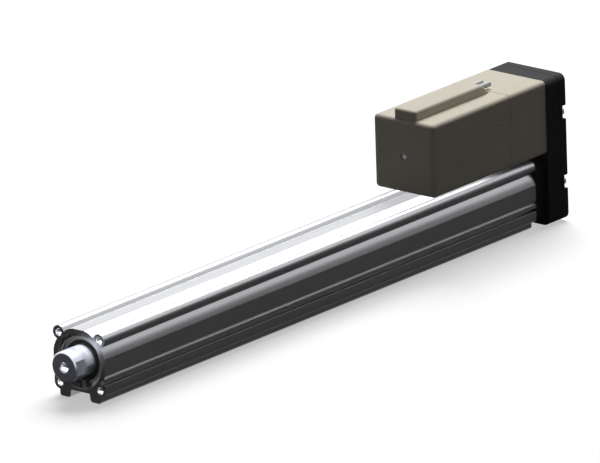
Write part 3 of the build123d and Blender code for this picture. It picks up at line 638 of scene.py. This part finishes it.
class Finishes:
    """Every finish of the cylinder, by the piece or the material that it is for."""

    body = Extruded(
        "body_aluminium",
        light=srgb(199, 200, 203),
        dark=srgb(174, 175, 178),
        roughness=0.3,
        spread=0.06,
        metallic=1.0,
        depth=0.02,
        edge=0.2,
        wear_and_highlight_colour=srgb(245, 245, 246),
        wear_and_highlight=0.6,
    )
    cover_metal = Turned(
        "rod_cover_aluminium",
        light=srgb(204, 203, 197),
        dark=srgb(190, 189, 183),
        roughness=0.4,
        metallic=0.4,
        depth=0.015,
        wear_and_highlight_colour=srgb(225, 222, 210),
        wear_and_highlight=0.4,
    )
    turned_aluminium = Turned(
        "turned_aluminium",
        light=srgb(222, 223, 226),
        dark=srgb(190, 192, 196),
        roughness=0.32,
        metallic=1.0,
        depth=0.02,
        wear_and_highlight=0.3,
        wear_and_highlight_colour=srgb(240, 240, 240),
    )
    motor_pulley_metal = replace(
        turned_aluminium, name="motor_pulley_aluminium", axis=Axis.MOTOR, wear_and_highlight=0.0
    )
    casting = Cast(
        "black_paint",
        light=srgb(72, 72, 74),
        dark=srgb(62, 62, 64),
        roughness=0.55,
        spread=0.08,
        depth=0.05,
        edge=0.35,
        wear_and_highlight_colour=srgb(100, 100, 102),
        wear_and_highlight=0.4,
        shine=0.03,
    )
    cover = Moulded(
        "beige_moulding",
        light=srgb(214, 207, 192),
        dark=srgb(204, 197, 181),
        roughness=0.55,
        spread=0.06,
        shine=0.15,
        depth=0.03,
        edge=0.3,
        # The lighter edge colour on the cover is partly wear and partly a painted highlight on its
        # rounded edges.
        wear_and_highlight_colour=srgb(232, 227, 214),
        wear_and_highlight=0.35,
    )
    chrome = Turned(
        "hard_chrome",
        light=srgb(230, 233, 244),
        dark=srgb(212, 216, 230),
        roughness=0.2,
        spread=0.01,
        metallic=0.55,
        depth=0.004,
        rings=8.0,
    )
    nickel = Turned(
        "nickel_plate",
        light=srgb(222, 226, 240),
        dark=srgb(213, 217, 232),
        roughness=0.28,
        spread=0.01,
        metallic=0.65,
        depth=0.0015,
        wear_and_highlight=0.25,
        wear_and_highlight_colour=srgb(245, 246, 250),
    )
    plate_screw = Knurled(
        "nickel_screws",
        light=srgb(200, 200, 204),
        dark=srgb(150, 150, 156),
        roughness=0.3,
        metallic=1.0,
        depth=0.15,
    )
    thread = Turned(
        "cut_thread",
        light=srgb(236, 237, 240),
        dark=srgb(206, 208, 214),
        roughness=0.4,
        metallic=0.6,
        depth=0.01,
        rings=6.0,
    )
    ground_steel = Turned(
        "ground_steel",
        light=srgb(205, 206, 210),
        dark=srgb(170, 172, 178),
        roughness=0.25,
        metallic=1.0,
        depth=0.01,
        rings=5.0,
    )
    motor_steel = replace(ground_steel, name="motor_steel", axis=Axis.MOTOR)
    polished_steel = Finish(
        "polished_balls",
        light=srgb(225, 226, 230),
        dark=srgb(210, 212, 216),
        roughness=0.08,
        spread=0.02,
        metallic=1.0,
        depth=0.001,
    )
    dark_screw_steel = Finish(
        "oiled_screws",
        light=srgb(70, 70, 74),
        dark=srgb(48, 48, 52),
        roughness=0.35,
        metallic=1.0,
        depth=0.01,
    )
    screw_bar = BallGroove(
        "ball_screw_steel",
        light=srgb(205, 206, 212),
        dark=srgb(120, 122, 130),
        roughness=0.22,
        metallic=1.0,
        depth=1.2,
    )
    spring = Turned(
        "spring_steel_ring",
        light=srgb(112, 112, 110),
        dark=srgb(92, 92, 91),
        roughness=0.35,
        metallic=0.8,
        depth=0.02,
        rings=1.5,
        wear_and_highlight=0.4,
        wear_and_highlight_colour=srgb(190, 190, 188),
    )
    sheets = Layered(
        "motor_sheets",
        light=srgb(140, 142, 148),
        dark=srgb(98, 100, 106),
        roughness=0.42,
        metallic=0.9,
        depth=0.12,
    )
    motor_casting = Cast(
        "motor_end_castings",
        light=srgb(190, 191, 193),
        dark=srgb(160, 161, 164),
        roughness=0.45,
        metallic=0.8,
        depth=0.06,
    )
    copper = Wound(
        "enamelled_copper",
        light=srgb(206, 126, 82),
        dark=srgb(150, 80, 46),
        roughness=0.3,
        metallic=0.9,
        depth=0.3,
        coat=0.4,
    )
    bronze = Pored(
        "sintered_bronze",
        light=srgb(190, 150, 92),
        dark=srgb(110, 82, 48),
        roughness=0.45,
        metallic=0.8,
        depth=0.05,
    )
    rubber = Finish(
        "black_rubber",
        light=srgb(40, 40, 40),
        dark=srgb(26, 26, 26),
        roughness=0.75,
        spread=0.08,
        depth=0.03,
    )
    urethane = Finish(
        "amber_urethane",
        light=srgb(186, 150, 74),
        dark=srgb(164, 128, 56),
        roughness=0.4,
        depth=0.02,
        coat=0.2,
    )
    acetal = Finish(
        "white_acetal",
        light=srgb(238, 237, 230),
        dark=srgb(224, 222, 212),
        roughness=0.42,
        depth=0.01,
    )
    magnet = Pored(
        "pressed_magnet",
        light=srgb(84, 84, 88),
        dark=srgb(46, 46, 50),
        roughness=0.5,
        metallic=0.4,
        depth=0.04,
    )
    plastic = Moulded(
        "black_plastic",
        light=srgb(46, 46, 48),
        dark=srgb(34, 34, 36),
        roughness=0.5,
        depth=0.03,
    )
    board = Printed(
        "circuit_board",
        light=srgb(70, 130, 74),
        dark=srgb(22, 84, 46),
        roughness=0.32,
        depth=0.05,
        coat=0.3,
    )
    jacket = Finish(
        "lead_jacket",
        light=srgb(214, 214, 212),
        dark=srgb(198, 198, 196),
        roughness=0.48,
        depth=0.02,
        edge=0.3,
    )


def dress(finish: Finish, *nodes: str) -> None:
    """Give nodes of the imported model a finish.

    Args:
        finish: The finish that they get.
        nodes: The nodes' names.
    """
    material = finish.material()
    for node in nodes:
        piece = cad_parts[node]
        if not piece.material_slots:
            piece.data.materials.append(material)
        for place in piece.material_slots:
            place.material = material


@dataclass
class Thread:
    """Crests of an internal thread: one ridge that winds down a hole.

    Attributes:
        name: The piece's name.
        mouths: The middle of each hole's mouth, in metres.
        inward: The direction into the holes.
        radius: Radius of the holes in metres.
        pitch: Distance between crests in metres.
        depth: How deep the thread goes in metres.
        crest: How far the ridge stands proud of the hole's wall, in metres.
        body: The body that it rides on.
        slot: The record's material slot that it belongs to. Not used.
        steps: Steps in one turn of the ridge.
        start: How far in the ridge starts and how far short it ends, in pitches.
        flank: Half the ridge's width at its root, in pitches.
    """

    name: str
    mouths: Sequence[Vector]
    inward: Vector
    radius: float
    pitch: float
    depth: float
    crest: float
    body: str
    slot: str
    steps: int = 24
    start: float = 0.6
    flank: float = 0.35

    def wind(self, mesh: bmesh.types.BMesh, mouth: Vector) -> None:
        """Wind the ridge of one hole.

        Args:
            mesh: The mesh that the ridge is added to.
            mouth: The middle of the hole's mouth.
        """
        outward = self.inward.orthogonal().normalized()
        root = self.radius + self.crest / 2
        start = mouth + self.inward * self.pitch * self.start
        corners = [
            start + outward * root - self.inward * self.pitch * self.flank,
            start + outward * (self.radius - self.crest),
            start + outward * root + self.inward * self.pitch * self.flank,
        ]
        points = [mesh.verts.new(corner) for corner in corners]
        profile = mesh.faces.new(points)
        turns = (self.depth - 2 * self.start * self.pitch) / self.pitch
        steps = round(turns * self.steps)
        bmesh.ops.spin(
            mesh,
            geom=[profile, *profile.verts, *profile.edges],
            cent=mouth,
            axis=self.inward,
            dvec=self.inward * self.pitch / self.steps,
            angle=math.tau * steps / self.steps,
            steps=steps,
            use_merge=False,
            use_duplicate=False,
        )

    def build(self) -> bpy.types.Object:
        """Make the ridges of all the holes as one piece.

        Returns:
            The piece, riding on its body.
        """
        mesh = bmesh.new()
        for mouth in self.mouths:
            self.wind(mesh, mouth)
        bmesh.ops.recalc_face_normals(mesh, faces=mesh.faces)
        made = linked(mesh, self.name, Finishes.thread.material())
        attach(made, self.body)
        return made


def linked(mesh: bmesh.types.BMesh, name: str, material: bpy.types.Material) -> bpy.types.Object:
    """Turn a mesh into an object in the scene.

    Args:
        mesh: The mesh, which is freed.
        name: The object's name.
        material: Its material.

    Returns:
        The object, at the origin.
    """
    data = bpy.data.meshes.new(name)
    mesh.to_mesh(data)
    mesh.free()
    made = bpy.data.objects.new(name, data)
    bpy.context.scene.collection.objects.link(made)
    data.materials.append(material)
    return made


@dataclass
class Body:
    """The extruded body with its tapped holes.

    Attributes:
        port_spacing: Side of the square that the four front holes are on, in metres.
        port_radius: Radius of the front and base holes in metres.
        port_depth: Depth of a front hole's thread in metres.
        port_pitch: Pitch of those threads in metres.
        base_depth: Depth of a base hole's thread in metres.
        base_spacing: Distance across the body between the two rows of base holes, in metres.
        base_first: From the front face to the first base holes, in metres.
        base_step: From one pair of base holes to the next, in metres.
        base_rows: Pairs of base holes.
        crest: How far the ridges stand proud of the holes' walls, in metres.
    """

    port_spacing: float = 0.040
    port_radius: float = 0.0025
    port_depth: float = 0.010
    port_pitch: float = 0.001
    base_depth: float = 0.0085
    base_spacing: float = 0.030
    base_first: float = 0.025
    base_step: float = 0.160
    base_rows: int = 4
    crest: float = 0.00018

    def build(self) -> list[bpy.types.Object]:
        """Dress the extrusion and thread its holes.

        Returns:
            The new pieces.
        """
        dress(Finishes.body, "body_tube")
        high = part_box("body_tube")[1]
        centre = Axis.ROD.centre()
        half = self.port_spacing / 2
        beside = self.base_spacing / 2
        ports = [
            Vector((high.x, side * half, centre.z + level * half))
            for side in (-1, 1)
            for level in (-1, 1)
        ]
        feet = [
            Vector((high.x - self.base_first - row * self.base_step, side * beside, 0))
            for row in range(self.base_rows)
            for side in (-1, 1)
        ]
        common = {
            "radius": self.port_radius,
            "pitch": self.port_pitch,
            "crest": self.crest,
            "body": "cylinder",
            "slot": "anodised_aluminium",
        }
        front = Thread(
            "front_hole_threads", ports, Vector((-1, 0, 0)), depth=self.port_depth, **common
        )
        base = Thread("base_hole_threads", feet, Vector((0, 0, 1)), depth=self.base_depth, **common)
        return [front.build(), base.build()]


@dataclass
class RodEnd:
    """The rod with its socket, and the rod cover that guides it.

    Attributes:
        thread_start: From the socket's face to the thread's mouth, in metres.
        thread_radius: Radius of the socket's hole in metres.
        thread_pitch: Pitch of its thread in metres.
        thread_depth: Depth of its thread in metres.
        crest: How far the ridge stands proud of the hole's wall, in metres.
    """

    thread_start: float = 0.0006
    thread_radius: float = 0.0034
    thread_pitch: float = 0.00125
    thread_depth: float = 0.012
    crest: float = 0.00022

    def build(self) -> list[bpy.types.Object]:
        """Dress the rod and its guides and thread the socket.

        Returns:
            The new piece.
        """
        dress(Finishes.cover_metal, "rod_cover")
        dress(Finishes.rubber, "rod_seal", "rod_cover_o_ring")
        dress(Finishes.bronze, "rod_bushing")
        dress(Finishes.spring, "retaining_ring")
        dress(Finishes.urethane, "front_bumper", "rear_bumper")
        dress(Finishes.chrome, "piston_rod")
        dress(Finishes.nickel, "rod_socket")
        dress(Finishes.turned_aluminium, "piston")
        dress(Finishes.magnet, "magnet_ring")
        dress(Finishes.acetal, "piston_wear_ring", "rotation_stopper")
        dress(Finishes.ground_steel, "ball_nut")
        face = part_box("rod_socket")[1].x
        thread = Thread(
            "rod_end_thread",
            [Vector((face - self.thread_start, 0, Axis.ROD.centre().z))],
            Vector((-1, 0, 0)),
            self.thread_radius,
            self.thread_pitch,
            self.thread_depth,
            self.crest,
            "rod",
            "nickel_steel",
        )
        return [thread.build()]


@dataclass
class ScrewDrive:
    """The ball screw, its bearings and the belt drive in the box behind them."""

    def build(self) -> list[bpy.types.Object]:
        """Dress the drive's pieces.

        Returns:
            An empty list, because no piece is new.
        """
        dress(Finishes.screw_bar, "ball_screw")
        dress(Finishes.ground_steel, "wear_ring_holder")
        dress(Finishes.ground_steel, "bearing_inner_races", "bearing_outer_races")
        dress(Finishes.acetal, "screw_wear_ring")
        dress(Finishes.polished_steel, "bearing_balls")
        dress(Finishes.turned_aluminium, "bearing_stopper", "screw_pulley")
        dress(Finishes.dark_screw_steel, "screw_lock_nut", "screw_pulley_set_screw")
        dress(Finishes.casting, "bearing_housing", "return_box", "return_plate")
        dress(Finishes.plate_screw, "plate_screws")
        dress(Finishes.dark_screw_steel, "body_screws", "adapter_screws")
        dress(Finishes.rubber, "timing_belt")
        return []


@dataclass
class Motor:
    """The motor, its encoder and the moulded covers round them."""

    def build(self) -> list[bpy.types.Object]:
        """Dress the motor's pieces.

        Returns:
            An empty list, because no piece is new.
        """
        dress(Finishes.turned_aluminium, "motor_adapter")
        dress(Finishes.motor_casting, "motor_drive_bell", "motor_rear_bell")
        dress(Finishes.sheets, "motor_stator", "rotor_core")
        dress(Finishes.copper, "motor_windings")
        dress(Finishes.motor_steel, "motor_shaft", "motor_bearing_inners", "motor_bearing_outers")
        dress(Finishes.motor_pulley_metal, "motor_pulley")
        dress(Finishes.spring, "manual_override_screw")
        dress(Finishes.dark_screw_steel, "motor_bolts", "motor_pulley_set_screw")
        dress(Finishes.plastic, "encoder_housing", "encoder_disc", "lead_connector")
        dress(Finishes.board, "encoder_board")
        dress(Finishes.cover, "motor_cover", "motor_cover_rear")
        dress(Finishes.rubber, "cable_grommet")
        dress(Finishes.jacket, "motor_lead", "encoder_lead")
        return []


@dataclass(frozen=True)
class Card:
    """Dark card beside the object that shows in reflections and nowhere else.

    Attributes:
        name: The card's name.
        middle: Its middle in metres.
        size: Its width and height in metres.
        facing: The direction that it faces.
        level: How bright it looks, from 0 to 255.
    """

    name: str
    middle: Vector
    size: tuple[float, float]
    facing: Vector
    level: int

    def build(self) -> None:
        """Put the card up."""
        mesh = bmesh.new()
        bmesh.ops.create_grid(mesh, x_segments=1, y_segments=1, size=0.5)
        turned = self.facing.to_track_quat("Z", "Y").to_matrix().to_4x4()
        placed = Matrix.Translation(self.middle) @ turned @ Matrix.Diagonal((*self.size, 1, 1))
        bmesh.ops.transform(mesh, matrix=placed, verts=mesh.verts)
        material = bpy.data.materials.new(self.name)
        tree = Tree(material)
        glow = tree.signal("ShaderNodeEmission", {}, {"Color": grey(self.level)})
        tree.node("ShaderNodeOutputMaterial", {}, {"Surface": glow})
        made = linked(mesh, self.name, material)
        made.visible_camera = False
        made.visible_diffuse = False
        made.visible_shadow = False


@dataclass(frozen=True)
class Lamp:
    """Soft lamp, or spot with a narrow beam.

    Attributes:
        name: The lamp's name.
        place: Its middle in metres.
        aim: The point that it faces, in metres.
        size: Its side, or a spot's radius, in metres.
        power: Its power in watts.
        beam: Width of a spot's beam in degrees, or nothing for a soft lamp.
        passes: Objects that it doesn't light, and that throw no shadow from it.
        only: The objects that it lights, where it lights only some.
        blend: Share of a spot's beam over which its rim fades.
    """

    name: str
    place: Vector
    aim: Vector
    size: float
    power: float
    beam: float | None = None
    passes: tuple[str, ...] = ()
    only: tuple[str, ...] = ()
    blend: ClassVar[float] = 0.6

    def choose(self, made: bpy.types.Object) -> None:
        """Keep the lamp's light off the objects that it passes, or to those that it is only for.

        Args:
            made: The lamp's object.
        """
        named = bpy.data.collections.new(f"{self.name}_objects")
        for name in self.passes or self.only:
            named.objects.link(bpy.data.objects[name])
        made.light_linking.receiver_collection = named
        if self.passes:
            made.light_linking.blocker_collection = named
        for entry in named.collection_objects:
            entry.light_linking.link_state = "EXCLUDE" if self.passes else "INCLUDE"

    def build(self) -> None:
        """Hang the lamp."""
        if self.beam is None:
            data = bpy.data.lights.new(self.name, "AREA")
            data.size = self.size
        else:
            data = bpy.data.lights.new(self.name, "SPOT")
            data.shadow_soft_size = self.size
            data.spot_size = math.radians(self.beam)
            data.spot_blend = self.blend
        data.energy = self.power
        made = bpy.data.objects.new(self.name, data)
        made.location = self.place
        made.rotation_mode = "QUATERNION"
        made.rotation_quaternion = (self.aim - self.place).to_track_quat("-Z", "Y")
        bpy.context.scene.collection.objects.link(made)
        if self.passes or self.only:
            self.choose(made)


@dataclass
class Studio:
    """Pale floor, lamps, dark cards, and the camera of the photograph.

    Attributes:
        floor_size: Side of the floor in metres.
        floor_drop: How far the floor lies below the feet, in metres.
        bounce: Grey of the floor where it lights the object, from 0 to 255.
        pale: Grey of the floor where it is seen, which the lamps light.
        white: Strength of the white light that the floor adds where it is seen.
        fill: Strength of the surroundings where they light the object.
        distance: From the camera to the point that it looks at, in metres.
        focal: Focal length in millimetres.
        sensor: Width of the camera's sensor in millimetres.
        clip: The nearest and farthest distance that the camera sees, in metres.
        looks_at: The point in the middle of the picture.
        right: The picture's direction to the right.
        up: The picture's direction upward.
        unmirrored: Pieces that start above this height in metres show in no mirror image.
        lamps: A soft lamp overhead, and spots on the rod's end and in the threads.
        cards: Cards that lie and stand on the sides that the camera sees.
    """

    floor_size: float = 30.0
    floor_drop: float = 0.0003
    bounce: int = 74
    pale: int = 208
    white: float = 0.5
    fill: float = 0.05
    distance: float = 15.0
    focal: float = 1177.767
    sensor: float = 36.0
    clip: tuple[float, float] = (0.1, 60.0)
    looks_at: Vector = field(default_factory=lambda: millimetres(138.4957, 113.2550, 120.3066))
    right: Vector = field(default_factory=lambda: Vector((-0.63408128, 0.77266009, -0.03061547)))
    up: Vector = field(default_factory=lambda: Vector((-0.25510915, -0.17165072, 0.95155418)))
    unmirrored: float = 0.055
    lamps: tuple[Lamp, ...] = (
        Lamp("overhead", Vector((-2.3, -1.2, 4.4)), Vector((0, 0, 0.06)), 3.8, 290.0),
        Lamp(
            "over_rod",
            Vector((0.266, 0.06, 0.42)),
            Vector((0.2775, 0, 0.036)),
            0.01,
            17.0,
            5.4,
            passes=("floor", "body_tube"),
        ),
        Lamp(
            "before_rod",
            Vector((0.36, 0.1, 0.4)),
            Vector((0.2715, 0, 0.036)),
            0.02,
            3.2,
            5.0,
            passes=("floor", "body_tube"),
        ),
        Lamp(
            "before_holes",
            Vector((0.62, 0.06, 0.4)),
            Vector((0.27, 0, 0.034)),
            0.02,
            60.0,
            9.0,
            only=("front_hole_threads", "rod_end_thread", "retaining_ring"),
        ),
    )
    cards: tuple[Card, ...] = (
        Card("side_card", Vector((0, 0.4353, 0.0003)), (2.4, 0.8294), Vector((0, 0, 1)), 68),
        Card("front_card", Vector((0.7358, -0.487, 0.0003)), (0.93, 1.026), Vector((0, 0, 1)), 43),
        Card("side_wall", Vector((-0.5, 0.9, 0.2)), (2.4, 0.4), Vector((0, -1, 0)), 105),
        Card("front_wall", Vector((1.2, -0.4, 0.3)), (0.6, 2.0), Vector((-1, 0, 0)), 60),
    )

    def seen(self, tree: Tree) -> Signal:
        """Tell the rays that see the background, straight or in metal or glass, from the rest.

        Rays that have left a matt surface light it, so they see the dim surroundings.

        Args:
            tree: The nodes of the floor or the surroundings.

        Returns:
            1 for the rays that see the background, and 0 for those that light something.
        """
        rays = tree.node("ShaderNodeLightPath")
        camera, glossy, through, scattered = (
            Signal(tree, rays.outputs[name])
            for name in ("Is Camera Ray", "Is Glossy Ray", "Is Transmission Ray", "Diffuse Depth")
        )
        return (camera + glossy + through - scattered).clamped()

    def floor(self) -> None:
        """Lay the floor, white where it is lit and grey in the object's shadow."""
        mesh = bmesh.new()
        bmesh.ops.create_grid(mesh, x_segments=1, y_segments=1, size=self.floor_size / 2)
        bmesh.ops.translate(mesh, vec=(0, 0, -self.floor_drop), verts=mesh.verts)
        material = bpy.data.materials.new("pale_floor")
        tree = Tree(material)
        bounce = tree.signal("ShaderNodeBsdfDiffuse", {}, {"Color": grey(self.bounce)})
        pale = tree.signal("ShaderNodeBsdfDiffuse", {}, {"Color": grey(self.pale)})
        white = tree.signal("ShaderNodeEmission", {}, {"Color": WHITE, "Strength": self.white})
        shown = tree.signal("ShaderNodeAddShader", {}, {0: pale, 1: white})
        above = tree.signal("ShaderNodeMixShader", {}, {0: self.seen(tree), 1: bounce, 2: shown})
        clear = tree.signal("ShaderNodeBsdfTransparent")
        below = tree.signal("ShaderNodeNewGeometry", output="Backfacing")
        surface = tree.signal("ShaderNodeMixShader", {}, {0: below, 1: above, 2: clear})
        tree.node("ShaderNodeOutputMaterial", {}, {"Surface": surface})
        linked(mesh, "floor", material)

    def world(self) -> None:
        """Make the surroundings: dim for lighting, white where they are seen."""
        world = bpy.data.worlds.new("surroundings")
        tree = Tree(world)
        dim = tree.signal("ShaderNodeBackground", {}, {"Color": WHITE, "Strength": self.fill})
        white = tree.signal("ShaderNodeBackground", {}, {"Color": WHITE, "Strength": 1.0})
        both = tree.signal("ShaderNodeMixShader", {}, {0: self.seen(tree), 1: dim, 2: white})
        tree.node("ShaderNodeOutputWorld", {}, {"Surface": both})
        bpy.context.scene.world = world

    def camera(self) -> None:
        """Stand the camera where the photograph was taken from."""
        data = bpy.data.cameras.new("photograph")
        data.lens = self.focal
        data.sensor_width = self.sensor
        data.clip_start, data.clip_end = self.clip
        made = bpy.data.objects.new("photograph", data)
        back = self.right.cross(self.up).normalized()
        turned = Matrix((self.right, self.up, back)).transposed().to_4x4()
        made.matrix_world = Matrix.Translation(self.looks_at + back * self.distance) @ turned
        bpy.context.scene.collection.objects.link(made)
        bpy.context.scene.camera = made

    def clear_mirror(self) -> None:
        """Keep the motor and its covers out of reflections, as the drawing does."""
        for name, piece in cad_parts.items():
            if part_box(name)[0].z > self.unmirrored:
                piece.visible_glossy = False

    def build(self) -> None:
        """Set up the whole studio, once the pieces that its lamps name are there."""
        self.clear_mirror()
        self.camera()
        self.floor()
        self.world()
        for item in (*self.lamps, *self.cards):
            item.build()
        bpy.context.scene.view_settings.view_transform = "Standard"


def main() -> None:
    """Dress the cylinder part by part."""
    for part in (Body(), RodEnd(), ScrewDrive(), Motor()):
        for piece in part.build():
            log.info("%s: %d faces", piece.name, len(piece.data.polygons))
    Studio().build()


if __name__ == "__main__":
    main()
